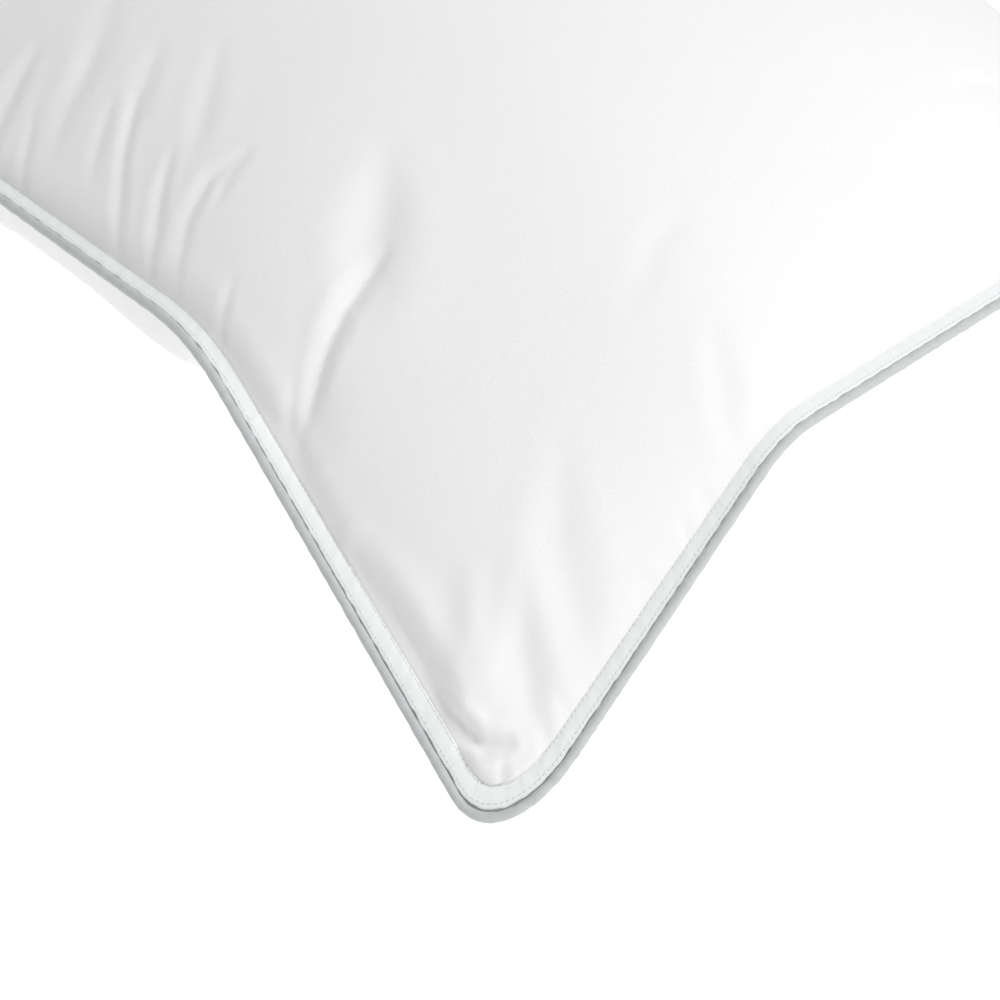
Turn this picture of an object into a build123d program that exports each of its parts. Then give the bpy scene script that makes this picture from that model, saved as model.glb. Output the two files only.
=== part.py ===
"""Standard bed pillow, 508 x 660 mm cut size, stuffed and lying flat on its back panel.

Two white cotton panels are sewn together round a piping: a filler cord wrapped in a bias tape. A second row
of stitching runs inside the piping and leaves a flat flange between the two. The stuffing sits inside it.

Frame: millimetres, +Z up, +X along the long sides, origin on the resting surface under the pillow's centre.
The four corners are thin "ears" that droop towards the surface. Each ear is straight from its tip to a bend
in the seam, where the side runs on level and straight.
"""

import os
from math import atan2, cos, hypot, radians, sin, tan

from build123d import *

# Seam: where the two panels end against the piping. Tips are the sharp corners of its outline.
TIP_X = 311.0  # half the length from tip to tip
TIP_Y = 232.0  # half the width from tip to tip
TIP_Z = 8.0  # height of the seam at a tip
SIDE_Z = 88.0  # height of the seam along a side
EAR_LONG = 193.0  # from a tip to the bend, measured along a long side
EAR_SHORT = 143.0  # the same along a short side
PULL_LONG = 36.0  # how far the stuffing pulls a long side in
PULL_SHORT = 19.0  # the same for a short side
BEND_LONG = 22.0  # half the length of the bend in a long side
BEND_SHORT = 14.0  # the same in a short side
TIP_RADIUS = 17.0  # rounding of the panels' corners, in plan

# Cloth and flange.
CLOTH = 1.0  # height of a panel's wall
OUTER_ROW = 1.0  # from the seam to the outer row of stitches
INNER_ROW = 5.5  # from the seam to the inner row
FLANGE = 6.2  # from the seam to where the panels part round the stuffing
LIP = 0.8  # thickness of the piping's tails, which lie between the panels
LIP_GAP = 0.3  # between the tails and a panel
TAIL_REACH = 5.4  # from the seam to the tails' raw edges
TAIL_OVERLAP = 0.2  # how far the tails run into the tube round the cord

# Stuffed shape.
CROWN = 92.0  # the front panel's rise above the seam at the centre
BELLY = 110.0  # how deep the back panel would hang if nothing held it up
FULLNESS = 0.75  # 0.5 is an ellipse in section, 1 a parabola
EASE = 5.0  # over which the panels turn away from the flange

# Stuffing.
FILL_GAP = 0.7  # between the stuffing and the panels
FILL_INSET = 9.0  # from the seam to the stuffing's edge

# Piping and threads.
PIPING_RADIUS = 1.75
CORD_RADIUS = 1.0
TAPE_INNER_RADIUS = 1.3
PIPING_GAP = 0.25  # between the piping and the panels' edges
THREAD_RADIUS = 0.25
THREAD_GAP = 0.3  # between a thread and the panel that it lies on
JOIN_GAP = 0.5  # between the two ends of a strip or thread that runs all round

# Care label, folded in half and hanging from a short side.
LABEL_WIDTH = 32.0
LABEL_DROP = 38.0
LABEL_LEAF = 0.5
LABEL_FOLD_GAP = 0.4
LABEL_INSET = 3.4  # from the seam to its middle
LABEL_Y = -44.0

# Surfaces are sampled closest together where the panels part, and go on a little past the seam.
OUTWARD_STEP = 3.1
OUTWARD_LINES = 5
INWARD_STEP = 1.5
STEP_GROWTH = 1.33
INWARD_LINES = 11
MIDDLE_LINES = 5
TAIL_MIDDLE_LINES = 6
SURFACE_TOLERANCE = 0.02


def nearness(distance, ear, bend):
    """1 at a tip, falling in a straight line to 0 at the ear's end, with a rounded bend there."""
    if distance < ear - bend:
        return 1 - distance / ear
    if distance < ear + bend:
        return (ear + bend - distance) ** 2 / (4 * bend * ear)
    return 0.0


def along_long(x):
    return nearness(TIP_X - abs(x), EAR_LONG, BEND_LONG)


def along_short(y):
    return nearness(TIP_Y - abs(y), EAR_SHORT, BEND_SHORT)


def in_plan(x, y):
    """Where a point of the unpulled rectangle lies once the sides are pulled in."""
    narrower = 1 - PULL_SHORT * (1 - along_short(y)) / TIP_X
    shallower = 1 - PULL_LONG * (1 - along_long(x)) / TIP_Y
    return x * narrower, y * shallower


def middle_height(x, y):
    """Height of the middle surface, which the flange and the seam lie in."""
    return TIP_Z + (SIDE_Z - TIP_Z) * (1 - along_long(x) * along_short(y))


def swell(x, y, start):
    """Share of the full swell, 0 up to the distance start from the seam and 1 at the centre."""
    px, py = in_plan(x, y)
    half_x, half_y = in_plan(TIP_X if x >= 0 else -TIP_X, y)[0], in_plan(x, TIP_Y if y >= 0 else -TIP_Y)[1]
    shares = []
    for at, half in ((abs(px), abs(half_x)), (abs(py), abs(half_y))):
        inside = max(half - at - start, 0.0)
        share = eased(inside) / eased(half - start)
        shares.append((1 - (1 - share) ** 2) ** FULLNESS)
    return shares[0] * shares[1]


def eased(distance):
    """distance, but starting off slowly from 0."""
    return hypot(distance, EASE) - EASE


def sample_lines(tip, ear, bend, lines):
    """Where the surfaces are sampled across one direction, the same on both sides of the middle."""
    outside = [FLANGE - OUTWARD_STEP * k for k in range(OUTWARD_LINES, 0, -1)]
    growing = [(STEP_GROWTH**k - 1) / (STEP_GROWTH - 1) for k in range(INWARD_LINES)]
    inside = [FLANGE + INWARD_STEP * share for share in growing]
    rest = [inside[-1] + (tip - inside[-1]) * k / lines for k in range(1, lines)]
    bending = [ear - bend, ear - bend / 2, ear, ear + bend / 2, ear + bend]
    kept = [d for d in outside + inside + rest if abs(d - ear) > 1.3 * bend]
    half = [tip - distance for distance in kept + bending]
    return sorted([-h for h in half] + [0.0] + half)


def surface(height, lines=MIDDLE_LINES):
    """The face through height(x, y), over the pulled-in plan and a little past it."""
    rows = []
    columns = sample_lines(TIP_X, EAR_LONG, BEND_LONG, lines)
    for y in sample_lines(TIP_Y, EAR_SHORT, BEND_SHORT, lines):
        rows.append([(*in_plan(x, y), height(x, y)) for x in columns])
    return Face.make_surface_from_array_of_points(rows, tol=SURFACE_TOLERANCE)


def slab(height, thickness, lines=MIDDLE_LINES):
    """The face through height(x, y), made solid by moving it up by thickness."""
    return extrude(surface(height, lines), amount=thickness, dir=(0, 0, 1))


def seam_corners(offset):
    """The twelve corners of the seam's outline moved in by offset, or out if it is negative, in plan."""
    quarter = [
        (TIP_X - PULL_SHORT, TIP_Y - EAR_SHORT),
        (TIP_X, TIP_Y),
        (TIP_X - EAR_LONG, TIP_Y - PULL_LONG),
    ]
    outline = list(quarter)
    outline += [(-x, y) for x, y in reversed(quarter)]
    outline += [(-x, -y) for x, y in quarter]
    outline += [(x, -y) for x, y in reversed(quarter)]
    moved = []
    for i, (x, y) in enumerate(outline):
        before, after = outline[i - 1], outline[(i + 1) % len(outline)]
        turn_in = atan2(y - before[1], x - before[0])
        turn_out = atan2(after[1] - y, after[0] - x)
        half = (turn_out - turn_in) / 2
        reach = offset / cos(half)
        mean = turn_in + half
        moved.append((x - sin(mean) * reach, y + cos(mean) * reach))
    return moved


def height_over(px, py):
    """Height of the middle surface over a point of the pulled-in plan."""
    x, y = px, py
    for _ in range(6):
        at_x, at_y = in_plan(x, y)
        x, y = x + px - at_x, y + py - at_y
    return middle_height(x, y)


def turn_between(a, b, c):
    """Half the angle that a route turns by at b, in radians."""
    arriving = Vector(*b) - Vector(*a)
    leaving = Vector(*c) - Vector(*b)
    return radians(arriving.get_angle(leaving)) / 2


def bend_radii(points, tip_radius):
    """A radius for each corner, so that the bends start where the seam's own do."""
    bends = [BEND_SHORT, None, BEND_LONG, BEND_LONG, None, BEND_SHORT] * 2
    radii = []
    for i, bend in enumerate(bends):
        if bend is None:
            radii.append(tip_radius)
            continue
        radii.append(bend / tan(turn_between(points[i - 1], points[i], points[(i + 1) % 12])))
    return radii


def outline_prism(offset):
    """A tall solid over the seam's outline moved in by offset, with its tips rounded round the same middles."""
    points = [(x, y, 0.0) for x, y in seam_corners(offset)]
    line = FilletPolyline(*points, radius=bend_radii(points, TIP_RADIUS - offset), close=True)
    face = make_face(Pos(0, 0, -50) * line)
    return extrude(face, amount=400, dir=(0, 0, 1))


def seam_route(offset, lift):
    """A route that follows the seam, offset in plan and lifted, open at the middle of the -X side."""
    points = []
    for i, (x, y) in enumerate(seam_corners(offset)):
        is_tip = i % 3 == 1
        points.append((x, y, lift + (height_over(x, y) if is_tip else SIDE_Z)))
    radii = bend_radii(points, TIP_RADIUS - offset)
    split = 6  # the first corner on the -X side, at -Y
    x, _, z = points[split]
    first, last = (x, -JOIN_GAP / 2, z), (x, JOIN_GAP / 2, z)
    order = [(split + k) % 12 for k in range(12)]
    return FilletPolyline(
        first, *[points[i] for i in order], last, radius=[radii[i] for i in order]
    )


def front_surface(x, y):
    """Height of the front panel's inner face."""
    return middle_height(x, y) + LIP / 2 + LIP_GAP + CROWN * swell(x, y, FLANGE)


def back_surface(x, y):
    """Height of the back panel's outer face as it would hang; it goes no lower than 0."""
    return middle_height(x, y) - LIP / 2 - LIP_GAP - CLOTH - BELLY * swell(x, y, FLANGE)


def below_plane(z):
    """Everything below the height z, as far as the pillow reaches."""
    return Pos(0, 0, z) * Box(900, 900, 300, align=(Align.CENTER, Align.CENTER, Align.MAX))


def front_panel():
    """The upper panel, domed over the stuffing."""
    return slab(front_surface, CLOTH) & outline_prism(0)


def back_panel():
    """The lower panel, with a truly flat face where it rests."""
    def inner(x, y):
        return back_surface(x, y) + CLOTH

    outside = outline_prism(0) & slab(back_surface, 200)
    outside -= below_plane(0)
    inside = slab(inner, 250) - below_plane(CLOTH)
    return outside - inside


def fibre_fill():
    """The stuffing, clear of both panels and ending short of the flange."""
    def top(x, y):
        return front_surface(x, y) - FILL_GAP

    def bottom(x, y):
        return back_surface(x, y) + CLOTH + FILL_GAP

    above_back = outline_prism(FILL_INSET) & slab(bottom, 300)
    resting = above_back - below_plane(CLOTH + FILL_GAP)
    return resting - slab(top, 300)


def run_round(route, radius):
    """A round strip along a route."""
    return sweep((route ^ 0) * Circle(radius), path=route)


def piping_tape():
    """The bias tape: a tube round the cord, with its two tails lying flat between the panels."""
    route = seam_route(-PIPING_RADIUS - PIPING_GAP, 0)
    layers = slab(lambda x, y: middle_height(x, y) - LIP / 2, LIP, TAIL_MIDDLE_LINES)
    tails = outline_prism(-PIPING_GAP - TAIL_OVERLAP) & layers
    tails -= outline_prism(TAIL_REACH)
    gap = Pos(-TIP_X, 0, SIDE_Z) * Box(60, JOIN_GAP, 20)
    return run_round(route, PIPING_RADIUS) + tails - gap - run_round(route, TAPE_INNER_RADIUS)


def piping_cord():
    """The filler cord inside the tape."""
    route = seam_route(-PIPING_RADIUS - PIPING_GAP, 0)
    return run_round(route, CORD_RADIUS)


def stitch_row(inset, side):
    """One thread of a row of stitches, lying on the front panel (side 1) or under the back one (side -1)."""
    lift = side * (LIP / 2 + LIP_GAP + CLOTH + THREAD_GAP + THREAD_RADIUS)
    return run_round(seam_route(inset, lift), THREAD_RADIUS)


def care_label():
    """A blank label of two leaves with a fold at the bottom, hanging from the flange's underside."""
    thick = 2 * LABEL_LEAF + LABEL_FOLD_GAP
    top = SIDE_Z - LIP / 2 - LIP_GAP - CLOTH - THREAD_GAP
    where = Pos(-TIP_X + PULL_SHORT + LABEL_INSET, LABEL_Y, top - LABEL_DROP / 2)
    leaves = Box(thick, LABEL_WIDTH, LABEL_DROP)
    slot = Pos(0, 0, LABEL_LEAF) * Box(LABEL_FOLD_GAP, LABEL_WIDTH, LABEL_DROP)
    return where * (leaves - slot)


NODES = {
    "front_panel": front_panel,
    "back_panel": back_panel,
    "fibre_fill": fibre_fill,
    "piping_tape": piping_tape,
    "piping_cord": piping_cord,
    "outer_row_top_thread": lambda: stitch_row(OUTER_ROW, 1),
    "outer_row_under_thread": lambda: stitch_row(OUTER_ROW, -1),
    "inner_row_top_thread": lambda: stitch_row(INNER_ROW, 1),
    "inner_row_under_thread": lambda: stitch_row(INNER_ROW, -1),
    "care_label": care_label,
}


def main():
    os.makedirs("parts", exist_ok=True)
    for name, build in NODES.items():
        export_step(build(), f"parts/{name}.step")


if __name__ == "__main__":
    main()
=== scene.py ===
"""Stuffed bed pillow of white percale with a grey piped edge, on a pale studio floor.

Every length is in metres. The pillow lies on its back panel, +Z is up, and the origin is on the floor under
its middle. A place on the pillow is given by (u, v): the point of the flat, unpulled rectangle that the cloth
there comes from. A place near the edge is also given by its inset, the distance in from the seam.
"""

from __future__ import annotations

import logging
import math
from dataclasses import dataclass, field
from enum import Enum

import bmesh
import bpy
import numpy as np
from mathutils import Matrix, Vector


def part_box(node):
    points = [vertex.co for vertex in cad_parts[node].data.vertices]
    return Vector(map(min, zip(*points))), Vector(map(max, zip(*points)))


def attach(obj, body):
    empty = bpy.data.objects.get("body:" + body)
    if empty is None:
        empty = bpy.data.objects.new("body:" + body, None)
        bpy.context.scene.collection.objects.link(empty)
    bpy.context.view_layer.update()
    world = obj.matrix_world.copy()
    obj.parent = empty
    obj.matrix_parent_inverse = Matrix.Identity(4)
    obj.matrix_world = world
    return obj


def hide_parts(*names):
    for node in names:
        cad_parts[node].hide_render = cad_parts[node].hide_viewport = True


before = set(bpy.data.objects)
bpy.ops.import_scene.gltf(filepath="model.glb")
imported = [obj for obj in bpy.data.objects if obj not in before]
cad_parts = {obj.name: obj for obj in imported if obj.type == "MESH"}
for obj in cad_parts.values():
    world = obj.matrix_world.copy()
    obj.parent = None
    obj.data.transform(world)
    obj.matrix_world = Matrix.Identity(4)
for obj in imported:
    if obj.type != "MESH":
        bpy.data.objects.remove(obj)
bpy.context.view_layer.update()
LOG = logging.getLogger("pillow")
MM = 0.001
STITCH = 2.1 * MM
# How far in from the seam the two stitched rows lie, in mm.
OUTER_ROW, INNER_ROW = 1.0, 5.5

Socket = bpy.types.NodeSocket
Colour = tuple[float, float, float]


class Side(Enum):
    """Which of the two panels a thing belongs to."""

    FRONT = 1.0
    BACK = -1.0


def smooth_step(value: np.ndarray, low: float, high: float) -> np.ndarray:
    """Rise smoothly from 0 at low to 1 at high.

    Args:
        value: The numbers to judge.
        low: Where the rise starts.
        high: Where it ends.

    Returns:
        An array of shares from 0 to 1.
    """
    share = np.clip((np.asarray(value, float) - low) / (high - low), 0.0, 1.0)
    return share * share * (3.0 - 2.0 * share)


def ripple(along: np.ndarray, seed: int, shortest: float, longest: float, waves: int = 14) -> np.ndarray:
    """Make an even, seeded mixture of waves along a line.

    Args:
        along: Places along the line.
        seed: Number that picks the mixture.
        shortest: Shortest wavelength.
        longest: Longest wavelength.
        waves: How many waves are mixed.

    Returns:
        Values of about -1 to 1 at each place.
    """
    draw = np.random.default_rng(seed)
    lengths = shortest * (longest / shortest) ** draw.random(waves)
    phases = draw.random(waves) * math.tau
    total = np.zeros_like(np.asarray(along, float))
    for length, phase in zip(lengths, phases):
        total += np.sin(math.tau * along / length + phase)
    return total / math.sqrt(waves)


# ---------------------------------------------------------------------------------------------- finishes


@dataclass(frozen=True)
class NodeBench:
    """One material's node tree, and the node groups that the finishes are put together from."""

    tree: bpy.types.ShaderNodeTree

    def add(self, kind: str, inputs: dict, **options: str) -> bpy.types.Node:
        """Add a node.

        Args:
            kind: Its type, without the "ShaderNode" in front.
            inputs: For each input, the value to set or the socket to link.
            options: Its own settings.

        Returns:
            The node.
        """
        node = self.tree.nodes.new("ShaderNode" + kind)
        for option, value in options.items():
            setattr(node, option, value)
        for name, value in inputs.items():
            if isinstance(value, Socket):
                self.tree.links.new(value, node.inputs[name])
            else:
                node.inputs[name].default_value = value
        return node

    def place(self) -> Socket:
        """Give the place on the object, in metres."""
        return self.add("TexCoord", {}).outputs["Object"]

    def map(self, name: str) -> Socket:
        """Give the place on one of the piece's own maps, in metres."""
        return self.add("UVMap", {}, uv_map=name).outputs["UV"]

    def stretch(self, vector: Socket, along: float, across: float) -> Socket:
        """Scale a map differently along and across."""
        return self.add("Mapping", {"Vector": vector, "Scale": (along, across, 1.0)}).outputs["Vector"]

    def noise(self, vector: Socket, scale: float, detail: float = 2.0, roughness: float = 0.5) -> Socket:
        """Make soft, irregular heights."""
        inputs = {"Vector": vector, "Scale": scale, "Detail": detail, "Roughness": roughness}
        return self.add("TexNoise", inputs).outputs["Fac"]

    def math(self, operation: str, first: Socket, second: Socket | float) -> Socket:
        """Join two values with a Math node."""
        return self.add("Math", {0: first, 1: second}, operation=operation).outputs[0]

    def fade(self, value: Socket, low: float, high: float, **options: str) -> Socket:
        """Fall from 1 at low to 0 at high."""
        inputs = {"Value": value, "From Min": low, "From Max": high, "To Min": 1.0, "To Max": 0.0}
        return self.add("MapRange", inputs, **options).outputs["Result"]

    def threads(self, vector: Socket, pitch: float, across: str) -> Socket:
        """Add one set of a weave's threads.

        Args:
            vector: The place in metres.
            pitch: Distance from thread to thread.
            across: "X" or "Y", the direction that the threads are counted in.

        Returns:
            A socket that is high on each thread and low between them.
        """
        scale = math.tau / (20.0 * pitch)
        inputs = {"Vector": vector, "Scale": scale, "Distortion": 0.6, "Detail": 1.0, "Detail Scale": 0.2}
        return self.add("TexWave", inputs, bands_direction=across).outputs["Fac"]

    def weave(self, vector: Socket, pitch: float) -> Socket:
        """Cross two sets of threads."""
        return self.math("MAXIMUM", self.threads(vector, pitch, "X"), self.threads(vector, pitch, "Y"))

    def bump(self, height: Socket, distance: float, strength: float, under: Socket | None = None) -> Socket:
        """Turn a height into a bump.

        Args:
            height: The height, 0 to 1.
            distance: What a height of 1 stands for.
            strength: The share of it that shows.
            under: Normal of a coarser bump below this one.

        Returns:
            The normal socket.
        """
        inputs = {"Height": height, "Distance": distance, "Strength": strength}
        if under is not None:
            inputs["Normal"] = under
        return self.add("Bump", inputs).outputs["Normal"]

    def drift(self, vector: Socket, scale: float, darker: float, colour: Colour) -> Socket:
        """Let a colour drift a little from place to place.

        Args:
            vector: The place.
            scale: How fine the drift is.
            darker: The share of the colour that is left at its darkest.
            colour: The colour at its lightest.

        Returns:
            The colour socket.
        """
        node = self.add("ValToRGB", {"Fac": self.noise(vector, scale, 3.0)})
        for end, at, share in zip(node.color_ramp.elements, (0.3, 0.7), (darker, 1.0)):
            end.position = at
            end.color = (*(part * share for part in colour), 1.0)
        return node.outputs["Color"]


@dataclass(frozen=True)
class Finish:
    """What every finish has: a name, a colour, how rough it is, and its sheen."""

    name: str
    colour: Colour
    roughness: float
    sheen: float = 0.0
    sheen_roughness: float = 0.5

    def make(self) -> bpy.types.Material:
        """Make the plain material, then add what is this finish's own.

        Returns:
            The material.
        """
        material = bpy.data.materials.new(self.name)
        material.use_nodes = True
        shader = material.node_tree.nodes["Principled BSDF"]
        shader.inputs["Base Color"].default_value = (*self.colour, 1.0)
        shader.inputs["Roughness"].default_value = self.roughness
        shader.inputs["Specular IOR Level"].default_value = 0.3
        shader.inputs["Sheen Weight"].default_value = self.sheen
        shader.inputs["Sheen Roughness"].default_value = self.sheen_roughness
        self.dress(NodeBench(material.node_tree), shader)
        return material

    def dress(self, bench: NodeBench, shader: bpy.types.Node) -> None:
        """Add this finish's own nodes; a plain finish has none."""

    @staticmethod
    def plug(bench: NodeBench, shader: bpy.types.Node, colour: Socket, normal: Socket) -> None:
        """Give the shader its colour and its surface."""
        bench.tree.links.new(colour, shader.inputs["Base Color"])
        bench.tree.links.new(normal, shader.inputs["Normal"])


@dataclass(frozen=True)
class Percale(Finish):
    """Fine plain-woven cotton, with gathers that run in from its sewn edge."""

    sheen: float = 0.25
    sheen_roughness: float = 0.35
    weave: float = 0.62 * MM
    weave_depth: float = 0.08 * MM
    slub_depth: float = 0.9 * MM
    gather_depth: float = 0.9 * MM
    gather_start: float = 5.0 * MM
    gather_end: float = 24.0 * MM

    def dress(self, bench: NodeBench, shader: bpy.types.Node) -> None:
        """Add gathers that fade in from the seam, slubs and the weave."""
        place, edge = bench.place(), bench.map("edge")
        inset = bench.add("SeparateXYZ", {"Vector": edge}).outputs["Y"]
        near = bench.fade(inset, self.gather_start, self.gather_end, interpolation_type="SMOOTHERSTEP")
        gathers = bench.noise(bench.stretch(edge, 120.0, 30.0), 1.0, 2.5, 0.45)
        normal = bench.bump(bench.math("MULTIPLY", gathers, near), self.gather_depth, 0.5)
        normal = bench.bump(bench.noise(place, 75.0, 3.0), self.slub_depth, 0.22, normal)
        normal = bench.bump(bench.weave(bench.map("cloth"), self.weave), self.weave_depth, 0.35, normal)
        self.plug(bench, shader, bench.drift(place, 9.0, 0.985, self.colour), normal)


@dataclass(frozen=True)
class StitchedPercale(Percale):
    """The same cotton where it is stitched, with painted shade in its needle holes, and the grey tape's tail at
    its outer edge darkened further by painted shade in the groove there.
    """

    gather_depth: float = 0.6 * MM
    pitch: float = STITCH
    hole: float = 0.27 * MM
    # Painted shade: the groove beside the piping is darkened from here outwards, over the grey tape's tail.
    groove_shade_end: float = -0.22 * MM
    # Painted shade colour for the needle holes and the groove, darker than the grey tape itself.
    hole_and_groove_shade: Colour = (0.46, 0.475, 0.475)

    def dress(self, bench: NodeBench, shader: bpy.types.Node) -> None:
        """Dress the plain cloth, then paint shade into each needle hole and into the groove over the tape's tail.
        """
        super().dress(bench, shader)
        plain = shader.inputs["Base Color"].links[0].from_socket
        parts = bench.add("SeparateXYZ", {"Vector": bench.map("cloth")})
        across = parts.outputs["Y"]
        within = bench.math("MODULO", parts.outputs["X"], self.pitch)
        # Painted shade in the groove at the outer edge, over the tape's tail.
        painted_shade = bench.math("LESS_THAN", across, self.groove_shade_end)
        # Painted shade in the needle holes of both rows.
        for row in (OUTER_ROW, INNER_ROW):
            painted_shade = bench.math("MAXIMUM", painted_shade, self.hole_shade_at(bench, within, across, row * MM))
        # Mix the painted shade into the cloth's colour.
        mix = bench.add("Mix", {"Factor": painted_shade, "A": plain, "B": (*self.hole_and_groove_shade, 1.0)}, data_type="RGBA")
        bench.tree.links.new(mix.outputs["Result"], shader.inputs["Base Color"])

    def hole_shade_at(self, bench: NodeBench, within: Socket, across: Socket, row: float) -> Socket:
        """Paint shade into one row's needle holes.

        Args:
            bench: The material's nodes.
            within: The place within one stitch.
            across: The distance in from the seam.
            row: The row's distance in from the seam.

        Returns:
            A socket that is 1 in each hole, where the painted shade goes.
        """
        offsets = {
            "X": bench.math("SUBTRACT", within, self.pitch / 2.0),
            "Y": bench.math("SUBTRACT", across, row),
        }
        offset = bench.add("CombineXYZ", offsets).outputs["Vector"]
        reach = bench.add("VectorMath", {0: offset}, operation="LENGTH").outputs["Value"]
        return bench.fade(reach, self.hole * 0.4, self.hole)


@dataclass(frozen=True)
class BiasTape(Finish):
    """Soft grey tape cut on the bias, drawn tight round its cord."""

    sheen: float = 0.35
    sheen_roughness: float = 0.3
    weave: float = 0.5 * MM
    weave_depth: float = 0.1 * MM
    drag_depth: float = 0.5 * MM

    def dress(self, bench: NodeBench, shader: bpy.types.Node) -> None:
        """Add the slanting weave, and the drags where the tape is pulled."""
        cloth = bench.map("cloth")
        slant = (0.0, 0.0, math.radians(45.0))
        turned = bench.add("Mapping", {"Vector": cloth, "Rotation": slant}).outputs["Vector"]
        normal = bench.bump(bench.noise(bench.stretch(cloth, 330.0, 90.0), 1.0), self.drag_depth, 0.5)
        normal = bench.bump(bench.weave(turned, self.weave), self.weave_depth, 0.5, normal)
        self.plug(bench, shader, bench.drift(cloth, 220.0, 0.9, self.colour), normal)


@dataclass(frozen=True)
class SpunThread(Finish):
    """Sewing thread with a slight twist."""

    sheen: float = 0.2
    twist_depth: float = 0.1 * MM

    def dress(self, bench: NodeBench, shader: bpy.types.Node) -> None:
        """Add the twist."""
        place = bench.place()
        normal = bench.bump(bench.noise(place, 2500.0), self.twist_depth, 0.5)
        self.plug(bench, shader, bench.drift(place, 400.0, 0.94, self.colour), normal)


@dataclass(frozen=True)
class LabelSatin(Finish):
    """Smooth woven label tape."""

    sheen: float = 0.3
    rib: float = 0.45 * MM
    rib_depth: float = 0.1 * MM

    def dress(self, bench: NodeBench, shader: bpy.types.Node) -> None:
        """Add the fine ribs."""
        place = bench.place()
        normal = bench.bump(bench.threads(place, self.rib, "Y"), self.rib_depth, 0.5)
        self.plug(bench, shader, bench.drift(place, 60.0, 0.97, self.colour), normal)


@dataclass(frozen=True)
class StudioFloor(Finish):
    """Seamless white sweep, lit from within so that it stays pale."""

    glow: float = 0.8

    def dress(self, bench: NodeBench, shader: bpy.types.Node) -> None:
        """Add the glow."""
        shader.inputs["Emission Color"].default_value = (1.0, 1.0, 1.0, 1.0)
        shader.inputs["Emission Strength"].default_value = self.glow


@dataclass(frozen=True)
class Wardrobe:
    """Every finish of the pillow, made once."""

    percale: bpy.types.Material
    stitched: bpy.types.Material
    tape: bpy.types.Material
    thread: bpy.types.Material
    label: bpy.types.Material

    @classmethod
    def sewn(cls, pitch: float) -> Wardrobe:
        """Make the finishes.

        Args:
            pitch: Length of one stitch.

        Returns:
            All of them together.
        """
        return cls(
            percale=Percale("white_percale", (0.93, 0.932, 0.928), 0.72).make(),
            stitched=StitchedPercale("white_percale_stitched", (0.912, 0.93, 0.935), 0.72, pitch=pitch).make(),
            tape=BiasTape("grey_tape", (0.60, 0.622, 0.622), 0.6).make(),
            thread=SpunThread("white_thread", (0.86, 0.865, 0.86), 0.6).make(),
            label=LabelSatin("white_label", (0.88, 0.88, 0.87), 0.5).make(),
        )


# ------------------------------------------------------------------------------------------------- meshes


def new_piece(
    name: str, points: np.ndarray, faces: list[tuple[int, ...]], material: bpy.types.Material
) -> bpy.types.Object:
    """Make a piece from points and faces, and let it ride on the pillow.

    Args:
        name: The piece's name.
        points: Its vertices, one row each.
        faces: Its faces, as tuples of vertex numbers.
        material: Its finish.

    Returns:
        The new object, shaded smooth.
    """
    mesh = bpy.data.meshes.new(name)
    mesh.from_pydata(points.tolist(), [], faces)
    mesh.update()
    piece = bpy.data.objects.new(name, mesh)
    bpy.context.scene.collection.objects.link(piece)
    finish_piece(piece, material)
    return piece


def finish_piece(piece: bpy.types.Object, material: bpy.types.Material) -> None:
    """Give a piece its finish, smooth shading and its ride.

    Args:
        piece: The object.
        material: Its finish.
    """
    piece.data.materials.clear()
    piece.data.materials.append(material)
    piece.data.polygons.foreach_set("use_smooth", [True] * len(piece.data.polygons))
    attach(piece, "root")


def choose_only(piece: bpy.types.Object) -> None:
    """Select one object and nothing else, so that operators act on it alone."""
    bpy.ops.object.select_all(action="DESELECT")
    piece.select_set(True)
    bpy.context.view_layer.objects.active = piece


def read_corners(mesh: bpy.types.Mesh) -> np.ndarray:
    """Read which vertex each face corner is at."""
    corner = np.empty(len(mesh.loops), dtype=np.int64)
    mesh.loops.foreach_get("vertex_index", corner)
    return corner


def add_corner_map(mesh: bpy.types.Mesh, name: str, places: np.ndarray) -> None:
    """Store a UV map that has its own (x, y) row for each face corner."""
    layer = mesh.uv_layers.new(name=name)
    layer.data.foreach_set("uv", places.astype(np.float32).ravel())


def add_map(mesh: bpy.types.Mesh, name: str, places: np.ndarray) -> None:
    """Store a UV map that has one (x, y) row for each vertex."""
    add_corner_map(mesh, name, places[read_corners(mesh)])


def read_map(mesh: bpy.types.Mesh, name: str) -> np.ndarray:
    """Read a UV map as one (x, y) row for each vertex."""
    places = np.empty(len(mesh.loops) * 2, dtype=np.float32)
    mesh.uv_layers[name].data.foreach_get("uv", places)
    rows = np.zeros((len(mesh.vertices), 2))
    rows[read_corners(mesh)] = places.reshape(-1, 2)
    return rows


def read_points(mesh: bpy.types.Mesh) -> np.ndarray:
    """Read a mesh's vertices as an array."""
    points = np.empty(len(mesh.vertices) * 3)
    mesh.vertices.foreach_get("co", points)
    return points.reshape(-1, 3)


def write_points(mesh: bpy.types.Mesh, points: np.ndarray) -> None:
    """Put an array back as a mesh's vertices."""
    mesh.vertices.foreach_set("co", points.ravel())
    mesh.update()


# --------------------------------------------------------------------------------------------------- seam


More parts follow.
